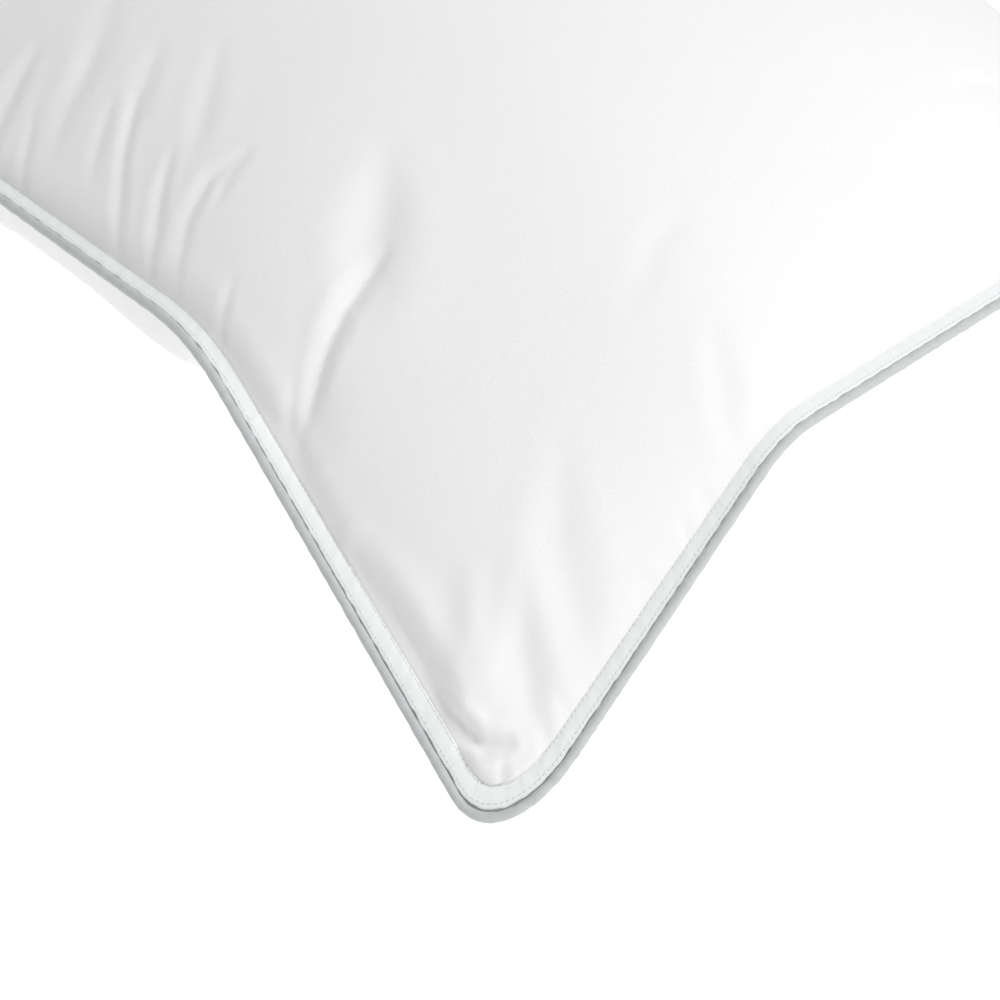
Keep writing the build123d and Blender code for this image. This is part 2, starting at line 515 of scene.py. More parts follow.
@dataclass(frozen=True)
class Seam:
    """The line that the two panels are sewn along, and the middle surface inside it."""

    tip_x: float = 311.0 * MM
    tip_y: float = 232.0 * MM
    tip_z: float = 8.0 * MM
    side_z: float = 88.0 * MM
    ear_long: float = 193.0 * MM
    ear_short: float = 143.0 * MM
    pull_long: float = 36.0 * MM
    pull_short: float = 19.0 * MM
    bend_long: float = 22.0 * MM
    bend_short: float = 14.0 * MM
    round_long: float = 22.0 * MM
    round_short: float = 35.0 * MM

    @staticmethod
    def nearness(distance: np.ndarray, ear: float, bend: float) -> np.ndarray:
        """Say how near the tip a place along a side is.

        Args:
            distance: Distance from the tip's line.
            ear: Where the ear ends.
            bend: Half the length of the bend there.

        Returns:
            1 at the tip, falling to 0 at the ear's end.
        """
        straight = 1.0 - distance / ear
        bending = (ear + bend - distance) ** 2 / (4.0 * bend * ear)
        return np.where(distance < ear - bend, straight, np.where(distance < ear + bend, bending, 0.0))

    def near_tip(self, u: np.ndarray, v: np.ndarray) -> tuple[np.ndarray, np.ndarray]:
        """Say how near the tip each place is, along the long and along the short side."""
        near_long = self.nearness(self.tip_x - np.abs(u), self.ear_long, self.bend_long)
        near_short = self.nearness(self.tip_y - np.abs(v), self.ear_short, self.bend_short)
        return near_long, near_short

    def drawn_in(self, u: np.ndarray, v: np.ndarray) -> tuple[np.ndarray, np.ndarray]:
        """Say what share of its x and of its y each place keeps when the sides are drawn in."""
        near_long, near_short = self.near_tip(u, v)
        narrower = 1.0 - self.pull_short * (1.0 - near_short) / self.tip_x
        shallower = 1.0 - self.pull_long * (1.0 - near_long) / self.tip_y
        return narrower, shallower

    def place(self, u: np.ndarray, v: np.ndarray) -> np.ndarray:
        """Find where a point of the flat rectangle lies on the middle surface.

        Args:
            u: Places along the long side.
            v: Places along the short side.

        Returns:
            One (x, y, z) for each place.
        """
        near_long, near_short = self.near_tip(u, v)
        narrower, shallower = self.drawn_in(u, v)
        z = self.tip_z + (self.side_z - self.tip_z) * (1.0 - near_long * near_short)
        return np.stack([u * narrower, v * shallower, z], axis=-1)

    def cut(self, u: np.ndarray, v: np.ndarray) -> np.ndarray:
        """Find where a point lies on the flat cloth, as it was cut.

        Args:
            u: Places along the long side.
            v: Places along the short side.

        Returns:
            One (x, y) for each place.
        """
        rise = self.side_z - self.tip_z
        long_grown = math.hypot(self.ear_long, self.pull_long, rise) / self.ear_long
        short_grown = math.hypot(self.ear_short, self.pull_short, rise) / self.ear_short
        x = np.abs(u) + np.maximum(np.abs(u) - self.tip_x + self.ear_long, 0.0) * (long_grown - 1.0)
        y = np.abs(v) + np.maximum(np.abs(v) - self.tip_y + self.ear_short, 0.0) * (short_grown - 1.0)
        return np.stack([np.sign(u) * x, np.sign(v) * y], axis=-1)


@dataclass
class SeamWalk:
    """Even stations all the way round the seam, with the directions at each."""

    seam: Seam
    count: int
    base: np.ndarray = field(init=False)
    outward: np.ndarray = field(init=False)
    along: np.ndarray = field(init=False)
    length: float = field(init=False)
    up: np.ndarray = field(init=False)
    inward: np.ndarray = field(init=False)
    forward: np.ndarray = field(init=False)

    def __post_init__(self) -> None:
        """Lay out the stations."""
        wide, deep = self.seam.round_long, self.seam.round_short
        half_x, half_y = self.seam.tip_x - wide, self.seam.tip_y - deep
        fine_u, fine_v, fine_n = [], [], []
        turns = ((1, 1), (-1, 1), (-1, -1), (1, -1))
        for quarter, (sx, sy) in enumerate(turns):
            angles = (quarter + np.linspace(0.0, 1.0, 60)) * math.pi / 2.0
            fine_u.append(sx * half_x + wide * np.cos(angles))
            fine_v.append(sy * half_y + deep * np.sin(angles))
            fine_n.append(self.unit(np.stack([deep * np.cos(angles), wide * np.sin(angles)], axis=-1)))
            nx, ny = turns[(quarter + 1) % 4]
            share = np.linspace(0.0, 1.0, 700)[1:-1]
            end = np.array([fine_u[-1][-1], fine_v[-1][-1]])
            start = np.array([nx * half_x, ny * half_y]) + np.array([wide, deep]) * fine_n[-1][-1]
            fine_u.append(end[0] + (start[0] - end[0]) * share)
            fine_v.append(end[1] + (start[1] - end[1]) * share)
            fine_n.append(np.repeat(fine_n[-1][-1:], len(share), axis=0))
        u, v, n = np.concatenate(fine_u), np.concatenate(fine_v), np.concatenate(fine_n)
        points = self.seam.place(u, v)
        steps = np.linalg.norm(np.roll(points, -1, axis=0) - points, axis=1)
        reach = np.concatenate([[0.0], np.cumsum(steps)])
        self.length = float(reach[-1])
        self.along = np.arange(self.count) * self.length / self.count

        def even(values: np.ndarray) -> np.ndarray:
            """Read values that are known at the fine points at the even stations."""
            return np.interp(self.along, reach, np.append(values, values[0]))

        self.base = np.stack([even(u), even(v)], axis=-1)
        normal = np.stack([even(n[:, 0]), even(n[:, 1])], axis=-1)
        self.outward = normal / np.linalg.norm(normal, axis=1, keepdims=True)
        here = self.at(0.0)
        self.forward = self.unit(np.roll(here, -1, axis=0) - np.roll(here, 1, axis=0))
        self.inward = self.unit(self.at(2.0 * MM) - here)
        self.up = self.unit(np.cross(self.inward, self.forward) * -1.0)

    @staticmethod
    def unit(rows: np.ndarray) -> np.ndarray:
        """Scale each row to a length of 1."""
        return rows / np.linalg.norm(rows, axis=1, keepdims=True)

    def at(self, inset: float | np.ndarray) -> np.ndarray:
        """Find the stations' places on the middle surface at an inset.

        Args:
            inset: Distance in from the seam, or out if it is negative; one for all or one each.

        Returns:
            One (x, y, z) for each station.
        """
        u, v = self.base[:, 0], self.base[:, 1]
        narrower, shallower = self.seam.drawn_in(u, v)
        inner_u = u - self.outward[:, 0] * inset / narrower
        inner_v = v - self.outward[:, 1] * inset / shallower
        return self.seam.place(inner_u, inner_v)

    def lifted(self, inset: float | np.ndarray, height: float | np.ndarray) -> np.ndarray:
        """Find the stations' places at an inset and a height over the middle surface."""
        rise = np.broadcast_to(np.asarray(height, float), (self.count,))
        return self.at(inset) + self.up * rise[:, None]

    def ring_map(self, bands: list[tuple[float, float]]) -> np.ndarray:
        """Unroll a ring of faces that follows the seam.

        Args:
            bands: Where each face of a section starts and ends, across the ring.

        Returns:
            One (along, across) row for each face corner, in the order of ring_faces.
        """
        ends = np.append(self.along, self.length)
        rows = []
        for start, end in zip(ends[:-1], ends[1:]):
            for low, high in bands:
                rows += [(start, low), (start, high), (end, high), (end, low)]
        return np.array(rows)


def ring_faces(stations: int, around: int) -> list[tuple[int, int, int, int]]:
    """List the faces of a closed ring whose section is a closed loop.

    Args:
        stations: Sections round the ring.
        around: Points in each section, listed against the clock as seen along the ring.

    Returns:
        The faces, outwards.
    """
    faces = []
    for i in range(stations):
        j = (i + 1) % stations
        for k in range(around):
            m = (k + 1) % around
            faces.append((i * around + k, i * around + m, j * around + m, j * around + k))
    return faces


def turn_outwards(piece: bpy.types.Object) -> None:
    """Recalculate a closed piece's normals so that they all point out."""
    shape = bmesh.new()
    shape.from_mesh(piece.data)
    bmesh.ops.recalc_face_normals(shape, faces=shape.faces)
    shape.to_mesh(piece.data)
    shape.free()
    piece.data.update()


# -------------------------------------------------------------------------------------------------- cover


@dataclass(frozen=True)
class Fold:
    """A crease or a soft hollow in the front panel, drawn from the near tip.

    Each place along it is (from the tip along the long side, from the tip along the short side), in mm.
    """

    course: tuple[tuple[float, float], ...]
    depth: float
    width: float
    crisp: float = 2.0
    ridge: float = 0.45

    def offset(self, du: np.ndarray, dv: np.ndarray) -> np.ndarray:
        """Say how far the cloth is moved out by this fold.

        Args:
            du: Distances from the tip along the long side, in mm.
            dv: Distances from the tip along the short side, in mm.

        Returns:
            One distance for each place, in mm.
        """
        away = np.full(du.shape, 1e9)
        share = np.zeros(du.shape)
        runs = len(self.course) - 1
        for i in range(runs):
            (ax, ay), (bx, by) = self.course[i], self.course[i + 1]
            run = math.hypot(bx - ax, by - ay)
            t = np.clip(((du - ax) * (bx - ax) + (dv - ay) * (by - ay)) / run**2, 0.0, 1.0)
            gap = np.hypot(du - ax - t * (bx - ax), dv - ay - t * (by - ay))
            nearer = gap < away
            away = np.where(nearer, gap, away)
            share = np.where(nearer, (i + t) / runs, share)
        taper = np.sin(math.pi * np.clip(0.06 + 0.88 * share, 0.0, 1.0)) ** 0.8
        width = self.width * (0.55 + 0.45 * taper)
        hollow = -np.exp(-((away / width) ** self.crisp))
        rim = self.ridge * np.exp(-(((away - 1.9 * width) / (0.9 * width)) ** 2))
        return self.depth * taper * (hollow + rim)


@dataclass
class Cover:
    """Front and back panel, blown up by the stuffing inside them."""

    seam: Seam
    material: bpy.types.Material
    inset: float = 5.5 * MM
    cell: float = 6.0 * MM
    crown: float = 92.0 * MM
    belly: float = 110.0 * MM
    pressure: float = 14.0
    frames: int = 30
    take_up_long: float = 0.015
    take_up_short: float = 0.03
    top_limit: float = 190.0 * MM
    floor: float = 0.2 * MM
    plump: float = 1.6 * MM
    folds: tuple[Fold, ...] = ()
    back_folds: tuple[Fold, ...] = ()

    def lines(self, tip: float) -> np.ndarray:
        """Space the cells evenly from edge to edge.

        Args:
            tip: Half the flat rectangle's size.

        Returns:
            The cells' lines.
        """
        reach = tip - self.inset
        return np.linspace(-reach, reach, 2 * round(reach / self.cell) + 1)

    def round_tips(self, u: np.ndarray, v: np.ndarray) -> tuple[np.ndarray, np.ndarray]:
        """Draw the rectangle's four corners in to round ones.

        Args:
            u: Places along the long side.
            v: Places along the short side.

        Returns:
            The new places.
        """
        long_radius = self.seam.round_long - self.inset
        short_radius = self.seam.round_short - self.inset
        p = np.clip(np.abs(u) - (self.seam.tip_x - self.seam.round_long), 0.0, None) / long_radius
        q = np.clip(np.abs(v) - (self.seam.tip_y - self.seam.round_short), 0.0, None) / short_radius
        u_in = p * long_radius * (1.0 - np.sqrt(1.0 - q * q / 2.0))
        v_in = q * short_radius * (1.0 - np.sqrt(1.0 - p * p / 2.0))
        return u - np.sign(u) * u_in, v - np.sign(v) * v_in

    def swell(self, u: np.ndarray, v: np.ndarray) -> np.ndarray:
        """Say how much of the full swell each place has."""
        shares = []
        for at, tip in ((u, self.seam.tip_x), (v, self.seam.tip_y)):
            inside = np.clip(1.0 - np.abs(at) / (tip - self.inset), 0.0, 1.0)
            shares.append((1.0 - (1.0 - inside) ** 2) ** 0.75)
        return shares[0] * shares[1]

    def build(self) -> bpy.types.Object:
        """Build, inflate, fold and dress the cover.

        Returns:
            The piece.
        """
        u_lines, v_lines = self.lines(self.seam.tip_x), self.lines(self.seam.tip_y)
        u, v = self.round_tips(*(g.ravel() for g in np.meshgrid(u_lines, v_lines)))
        columns, rows = len(u_lines), len(v_lines)
        number = np.arange(columns * rows).reshape(rows, columns)
        edge = np.zeros((rows, columns), bool)
        edge[0, :] = edge[-1, :] = True
        edge[:, 0] = edge[:, -1] = True
        under = np.where(edge, number, 0)
        free = ~edge
        under[free] = columns * rows + np.arange(free.sum())

        middle = self.seam.place(u, v)
        grown = self.swell(u, v)
        top = middle.copy()
        top[:, 2] += self.crown * grown
        low = middle.copy()
        low[:, 2] = np.maximum(low[:, 2] - self.belly * grown, 1.0 * MM)
        points = np.concatenate([top, low[free.ravel()]])
        self.flat_u = np.concatenate([u, u[free.ravel()]])
        self.flat_v = np.concatenate([v, v[free.ravel()]])

        faces = []
        for r in range(rows - 1):
            for c in range(columns - 1):
                ring = ((r, c), (r, c + 1), (r + 1, c + 1), (r + 1, c))
                faces.append(tuple(int(number[p]) for p in ring))
                faces.append(tuple(int(under[p]) for p in reversed(ring)))
        piece = new_piece("pillow_cover", points, faces, self.material)
        self.map_cloth(piece.data)
        self.border = np.unique(number[edge])
        self.crease_border(piece.data)
        self.inflate(piece)
        self.settle(piece)
        self.refine(piece, 2)
        self.crumple(piece)
        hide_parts("front_panel", "back_panel", "fibre_fill")
        return piece

    def map_cloth(self, mesh: bpy.types.Mesh) -> None:
        """Store where each vertex lies on the cut cloth, and its farther and nearer distance in from the sides."""
        add_map(mesh, "cloth", self.seam.cut(self.flat_u, self.flat_v))
        du = self.seam.tip_x - np.abs(self.flat_u)
        dv = self.seam.tip_y - np.abs(self.flat_v)
        add_map(mesh, "edge", np.stack([np.maximum(du, dv), np.minimum(du, dv)], axis=-1))

    def crease_border(self, mesh: bpy.types.Mesh) -> None:
        """Keep the sewn edge sharp when the mesh is refined."""
        border = set(self.border.tolist())
        crease = mesh.attributes.new("crease_edge", "FLOAT", "EDGE")
        values = [1.0 if e.vertices[0] in border and e.vertices[1] in border else 0.0 for e in mesh.edges]
        crease.data.foreach_set("value", values)

    def inflate(self, piece: bpy.types.Object) -> None:
        """Let the cloth find its shape over the stuffing's pressure, held by its sewn edge."""
        held = piece.vertex_groups.new(name="sewn_edge")
        held.add(self.border.tolist(), 1.0, "REPLACE")
        piece.shape_key_add(name="stuffed")
        flat = piece.shape_key_add(name="cut")
        cut = self.seam.cut(self.flat_u, self.flat_v)
        ease_u = 1.0 - self.take_up_long * (1.0 - (np.abs(self.flat_v) / self.seam.tip_y) ** 4)
        ease_v = 1.0 - self.take_up_short * (1.0 - (np.abs(self.flat_u) / self.seam.tip_x) ** 4)
        rest = np.stack([cut[:, 0] * ease_u, cut[:, 1] * ease_v, np.zeros(len(cut))], axis=-1)
        flat.data.foreach_set("co", rest.ravel())
        flat.value = 0.0
        modifier = piece.modifiers.new("stuffing", "CLOTH")
        cloth = modifier.settings
        cloth.quality = 6
        cloth.mass = 0.25
        cloth.air_damping = 2.0
        cloth.tension_stiffness = 30.0
        cloth.compression_stiffness = 12.0
        cloth.shear_stiffness = 6.0
        cloth.bending_stiffness = 0.12
        cloth.tension_damping = 8.0
        cloth.compression_damping = 8.0
        cloth.use_pressure = True
        cloth.uniform_pressure_force = self.pressure
        cloth.vertex_group_mass = "sewn_edge"
        cloth.pin_stiffness = 50.0
        cloth.rest_shape_key = flat
        cloth.effector_weights.gravity = 0.0
        modifier.collision_settings.use_collision = False
        modifier.point_cache.frame_start = 1
        modifier.point_cache.frame_end = self.frames
        scene = bpy.context.scene
        for number in range(1, self.frames + 1):
            scene.frame_set(number)
        blown = piece.evaluated_get(bpy.context.evaluated_depsgraph_get()).to_mesh()
        points = read_points(blown)
        piece.evaluated_get(bpy.context.evaluated_depsgraph_get()).to_mesh_clear()
        piece.modifiers.remove(modifier)
        piece.shape_key_clear()
        piece.vertex_groups.clear()
        scene.frame_set(1)
        write_points(piece.data, points)
        LOG.info("inflated: top %.1f mm, bottom %.1f mm", points[:, 2].max() / MM, points[:, 2].min() / MM)

    def bulge(self) -> np.ndarray:
        """Say how far the stuffing pushes the back out beside each long side, away from the tips."""
        from_tip = self.seam.tip_x - np.abs(self.flat_u)
        inside = np.clip(self.seam.tip_y - self.inset - np.abs(self.flat_v), 0.0, None)
        fullest = 40.0 * MM + 5.0 * MM * np.exp(-(((from_tip - 240.0 * MM) / (28.0 * MM)) ** 2))
        return fullest * (1.0 - np.exp(-inside / (7.0 * MM))) * smooth_step(from_tip, 176.0 * MM, 225.0 * MM)

    def settle(self, piece: bpy.types.Object) -> None:
        """Press the back flat where it rests, and keep the crown within its height."""
        points = read_points(piece.data)
        height = points[:, 2]
        u, v = self.flat_u, self.flat_v
        middle = self.seam.place(u, v)[:, 2]
        below = height < middle - 0.5 * MM
        below[self.border] = False

        edge_in = np.minimum(self.seam.tip_x - self.inset - np.abs(u), self.seam.tip_y - self.inset - np.abs(v))
        bulge = self.bulge()
        shallow = np.maximum(0.95 * edge_in + 2.0 * MM, bulge)
        hang = np.maximum(middle - height, bulge)
        limit = np.where(below & (hang > shallow), shallow + 0.25 * (hang - shallow), hang)
        height = np.where(below, middle - limit, height)

        soft = 5.0 * MM
        over = height - self.floor
        eased = np.where(over > soft, over, np.where(over < -soft, 0.0, (over + soft) ** 2 / (4.0 * soft)))
        resting = below & (middle > 16.0 * MM)
        height = np.where(resting, self.floor + eased, np.maximum(height, self.floor))

        give = 12.0 * MM
        extra = height - (self.top_limit - give)
        height = np.where(extra > 0.0, self.top_limit - give + give * np.tanh(extra / give), height)
        points[:, 2] = height
        write_points(piece.data, points)

    def refine(self, piece: bpy.types.Object, levels: int) -> None:
        """Divide the mesh smoothly.

        Args:
            piece: The cover.
            levels: How many times each cell is divided.
        """
        choose_only(piece)
        modifier = piece.modifiers.new("finer", "SUBSURF")
        modifier.levels = levels
        modifier.render_levels = levels
        bpy.ops.object.modifier_apply(modifier=modifier.name)

    def crumple(self, piece: bpy.types.Object) -> None:
        """Press the folds into both panels, and plump them up close to the seam."""
        mesh = piece.data
        points = read_points(mesh)
        flat = read_map(mesh, "cloth")
        normals = np.empty(len(points) * 3, dtype=np.float32)
        mesh.vertices.foreach_get("normal", normals)
        normals = normals.reshape(-1, 3)
        tip = self.seam.cut(np.array(self.seam.tip_x), np.array(-self.seam.tip_y))
        du = (tip[0] - flat[:, 0]) / MM
        dv = (flat[:, 1] - tip[1]) / MM
        front = normals[:, 2] > -0.15
        away = np.zeros(len(points))
        for folds, here in ((self.folds, front), (self.back_folds, ~front)):
            for fold in folds:
                away[here] += fold.offset(du[here], dv[here])
        from_tip, inside = ((read_map(mesh, "edge") - self.inset) / MM).T
        away = np.maximum(away * smooth_step(inside, 0.0, 2.5), -0.2 - 0.5 * inside)
        plump = self.plump * (0.7 + 0.3 * smooth_step(from_tip, 20.0, 90.0))
        move = away * MM + plump * (1.0 - np.exp(-np.clip(inside, 0.0, None) / 2.5))
        points = points + normals * move[:, None]
        points[:, 2] = np.maximum(points[:, 2], self.floor)
        write_points(mesh, points)


# ------------------------------------------------------------------------------------------- sewn edge


@dataclass
class Flange:
    """The flat, double-stitched band between the piping and the stuffing."""

    walk: SeamWalk
    material: bpy.types.Material
    pitch: float

    def section(self) -> list[tuple[float, float]]:
        """List the band's upper section as (inset, height) from the piping inwards, in mm."""
        outer_edge = [(-1.0, 0.06), (-0.3, 0.08), (-0.2, 0.55), (0.2, 0.84), (OUTER_ROW, 0.74)]
        crown = [(1.8, 0.85), (2.8, 0.92), (3.8, 0.88), (4.6, 0.8), (5.1, 0.68)]
        return outer_edge + crown + [(INNER_ROW, 0.52), (5.9, 0.42), (6.4, 0.08)]

    @staticmethod
    def closeness(inset: float, middle: float, reach: float) -> float:
        """Say how close an inset is to a line: 1 on it, next to nothing beyond twice the reach."""
        return math.exp(-(((inset - middle) / reach) ** 2))

    def build(self) -> bpy.types.Object:
        """Build and dress the band.

        Returns:
            The piece.
        """
        walk = self.walk
        stitch = np.cos(math.tau * walk.along / self.pitch)
        plump = 1.0 + 0.16 * ripple(walk.along, 5, 6.0 * MM, 30.0 * MM)
        pucker = 0.09 * ripple(walk.along, 9, 2.2 * MM, 7.0 * MM)
        wander = 0.17 * ripple(walk.along, 41, 3.0 * MM, 16.0 * MM)
        rings = []
        for side in (1.0, -1.0):
            rows = []
            for inset, height in self.section():
                near_outer = self.closeness(inset, OUTER_ROW, 0.5)
                near_inner = self.closeness(inset, INNER_ROW, 0.6)
                rise = height * (1.0 + (plump - 1.0) * self.closeness(inset, 3.4, 1.5))
                rise = rise + pucker * (0.4 + near_inner) * min(height, 1.0)
                rise = rise + 0.1 * stitch * (near_outer + near_inner)
                place = inset + (wander if -0.5 < inset < 0.5 else 0.0)
                rows.append(walk.lifted(place * MM, side * np.maximum(rise, 0.05) * MM))
            rings.append(rows)
        section = rings[0] + rings[1][::-1]
        points = np.stack(section, axis=1).reshape(-1, 3)
        piece = new_piece("flange", points, ring_faces(walk.count, len(section)), self.material)
        insets = [inset * MM for inset, _ in self.section()]
        across = insets + insets[::-1]
        places = walk.ring_map(list(zip(across, across[1:] + across[:1])))
        add_corner_map(piece.data, "cloth", places)
        add_corner_map(piece.data, "edge", places)
        turn_outwards(piece)
        return piece


@dataclass
class Piping:
    """Bias tape round a cord, sewn into the seam."""

    walk: SeamWalk
    material: bpy.types.Material
    radius: float = 1.75 * MM
    gap: float = 0.35 * MM
    around: int = 16
    join_half: float = 7.0 * MM

    def build(self) -> bpy.types.Object:
        """Build and dress the piping.

        Returns:
            The piece.
        """
        walk = self.walk
        centre = self.route()
        here = walk.at(0.0)
        at_join = (here[:, 0] < 0.0) & (np.abs(here[:, 1]) < self.join_half)
        radius = self.radius * (1.0 + 0.045 * ripple(walk.along, 3, 4.0 * MM, 26.0 * MM))
        radius = radius + np.where(at_join, 0.28 * MM, 0.0)
        rows = []
        for k in range(self.around):
            angle = math.tau * k / self.around
            drag = 0.05 * MM * ripple(walk.along + k * 0.5 * MM, 21, 1.6 * MM, 5.0 * MM)
            reach = (radius + drag)[:, None]
            rows.append(centre + reach * (math.cos(angle) * walk.inward + math.sin(angle) * walk.up))
        points = np.stack(rows, axis=1).reshape(-1, 3)
        faces = ring_faces(walk.count, self.around)
        piece = new_piece("piping", points, faces, self.material)
        turn = math.tau * self.radius / self.around
        places = walk.ring_map([(k * turn, (k + 1) * turn) for k in range(self.around)])
        add_corner_map(piece.data, "cloth", places)
        turn_outwards(piece)
        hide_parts("piping_tape", "piping_cord")
        return piece

    def route(self) -> np.ndarray:
        """Follow the seam, tucked a little under the band along the level part of each short side.

        Returns:
            The cord's middle at each station.
        """
        walk = self.walk
        here = walk.at(0.0)
        level = smooth_step(-np.abs(here[:, 1]), -110.0 * MM, -82.0 * MM) * (np.abs(here[:, 0]) > 250.0 * MM)
        inset = -self.radius - self.gap + level * 0.9 * MM
        return walk.lifted(inset, -level * 1.25 * MM)


@dataclass
class StitchRow:
    """One row of lockstitches, seen from one side of the pillow."""

    name: str
    node: str
    walk: SeamWalk
    material: bpy.types.Material
    side: Side
    inset: float
    height: float
    pitch: float
    length_share: float = 0.72
    radius: float = 0.16 * MM
    dip: float = 0.3 * MM

    def one_stitch(self) -> tuple[np.ndarray, list[tuple[int, ...]]]:
        """Model one stitch: a short thread that dips into the cloth at both ends.

        Returns:
            Its points as (along, inward, up) from its middle, and its faces.
        """
        bpy.ops.mesh.primitive_uv_sphere_add(segments=6, ring_count=5, radius=1.0)
        stitch = bpy.context.object
        choose_only(stitch)
        bpy.ops.object.mode_set(mode="EDIT")
        bpy.ops.mesh.select_all(action="SELECT")
        half = self.pitch * self.length_share / 2.0
        bpy.ops.transform.resize(value=(self.radius, self.radius, half))
        bpy.ops.object.mode_set(mode="OBJECT")
        shape = read_points(stitch.data)
        local = np.stack([shape[:, 2], shape[:, 0], shape[:, 1]], axis=-1)
        local[:, 2] -= self.dip * (np.abs(local[:, 0]) / half) ** 3
        faces = [tuple(p.vertices) for p in stitch.data.polygons]
        bpy.data.objects.remove(stitch)
        return local, faces

    def build(self) -> bpy.types.Object:
        """Copy the stitch along its row.

        Returns:
            The piece.
        """
        local, faces = self.one_stitch()
        walk = self.walk
        side = self.side.value
        places = walk.lifted(self.inset, side * self.height)
        lean = 0.10 * ripple(walk.along, 31, 4.0 * MM, 20.0 * MM)
        points, all_faces = [], []
        for i in range(walk.count):
            forward = walk.forward[i] + walk.inward[i] * lean[i]
            offset = local[:, :1] * forward + local[:, 1:2] * walk.inward[i] + local[:, 2:3] * side * walk.up[i]
            points.append(places[i] + offset)
            start = i * len(local)
            all_faces += [tuple(start + k for k in face) for face in faces]
        piece = new_piece(self.name, np.concatenate(points), all_faces, self.material)
        turn_outwards(piece)
        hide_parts(self.node)
        return piece


@dataclass
class CareLabel:
    """Blank label folded in half, hanging under the flange of one short side."""

    material: bpy.types.Material
    width: float = 32.0 * MM
    drop: float = 38.0 * MM
    leaf: float = 0.35 * MM
    gap: float = 0.9 * MM

    def build(self) -> bpy.types.Object:
        """Fold the label and hang it where the frame has it.

        Returns:
            The piece.
        """
        low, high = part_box("care_label")
        middle_x = (low[0] + high[0]) / 2.0
        middle_y = (low[1] + high[1]) / 2.0
        top = high[2] - 0.4 * MM
        bpy.ops.mesh.primitive_grid_add(x_subdivisions=44, y_subdivisions=16, size=1.0)
        piece = bpy.context.object
        piece.name = piece.data.name = "care_label_cloth"
        choose_only(piece)
        points = read_points(piece.data)
        strip = (points[:, 0] + 0.5) * (2.0 * self.drop)
        across = points[:, 1] * self.width
        bend = self.gap / 2.0
        straight = self.drop - bend * math.pi / 2.0
        angle = np.clip((strip - straight) / bend, 0.0, math.pi)
        down = np.where(strip < straight, strip, straight + bend * np.sin(angle))
        down = np.where(strip > straight + bend * math.pi, 2.0 * self.drop - strip, down)
        x = middle_x - bend * np.cos(angle)
        curl = 1.1 * MM * np.sin(math.pi * across / self.width + 0.4) * (down / self.drop) ** 2
        placed = np.stack([x - curl, middle_y + across, top - down], axis=-1)
        write_points(piece.data, placed)
        wall = piece.modifiers.new("cloth", "SOLIDIFY")
        wall.thickness = self.leaf
        wall.offset = 0.0
        bpy.ops.object.modifier_apply(modifier=wall.name)
        finish_piece(piece, self.material)
        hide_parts("care_label")
        return piece


# ------------------------------------------------------------------------------------------------- studio


@dataclass
class Studio:
    """Pale floor, soft light and the camera."""

    azimuth: float = 47.4
    elevation: float = 40.0
    distance: float = 0.7357
    lens: float = 85.0
    target: tuple[float, float, float] = (0.311, -0.232, 0.008)
    rise: float = 0.1108
    along: float = 0.0007
    air_light: float = 0.48
    key_size: float = 2.6
    key_power: float = 68.0
    key_right: float = 1.9
    key_near: float = 1.0
    key_high: float = 2.6

    def axes(self) -> tuple[Vector, Vector, Vector]:
        """Find the camera's directions.

        Returns:
            Right, up and back.
        """
        a, e = math.radians(self.azimuth), math.radians(self.elevation)
        back = Vector((math.sin(a) * math.cos(e), -math.cos(a) * math.cos(e), math.sin(e)))
        right = Vector((math.cos(a), math.sin(a), 0.0))
        return right, back.cross(right), back

    def set_camera(self) -> None:
        """Place the camera."""
        right, up, back = self.axes()
        aim = Vector(self.target) + right * self.along + up * self.rise
        data = bpy.data.cameras.new("studio_camera")
        data.lens = self.lens
        data.clip_start = 0.01
        camera = bpy.data.objects.new("studio_camera", data)
        bpy.context.scene.collection.objects.link(camera)
        turn = Matrix((right, up, back)).transposed().to_4x4()
        camera.matrix_world = Matrix.Translation(aim + back * self.distance) @ turn
        bpy.context.scene.camera = camera

    def set_floor(self) -> None:
        """Lay the floor."""
        bpy.ops.mesh.primitive_circle_add(vertices=96, radius=12.0, fill_type="NGON")
        floor = bpy.context.object
        floor.name = floor.data.name = "studio_floor"
        floor.data.materials.append(StudioFloor("studio_white", (0.42, 0.42, 0.42), 0.9).make())

    def set_light(self) -> None:
        """Light the air evenly, and hang one large lamp above, to the right and towards the camera."""
        scene = bpy.context.scene
        world = bpy.data.worlds.new("studio_air")
        world.use_nodes = True
        background = world.node_tree.nodes["Background"]
        background.inputs["Color"].default_value = (1.0, 1.0, 1.0, 1.0)
        background.inputs["Strength"].default_value = self.air_light
        scene.world = world
        scene.view_settings.view_transform = "Standard"

        right, _, back = self.axes()
        near = Vector((back.x, back.y, 0.0)).normalized()
        place = right * self.key_right + near * self.key_near + Vector((0.0, 0.0, self.key_high))
        data = bpy.data.lights.new("key_light", "AREA")
        data.shape = "SQUARE"
        data.size = self.key_size
        data.energy = self.key_power
        lamp = bpy.data.objects.new("key_light", data)
        scene.collection.objects.link(lamp)
        facing = (Vector((0.15, -0.1, 0.08)) - place).to_track_quat("-Z", "Y")
        lamp.matrix_world = Matrix.Translation(place) @ facing.to_matrix().to_4x4()


# --------------------------------------------------------------------------------------------------- main

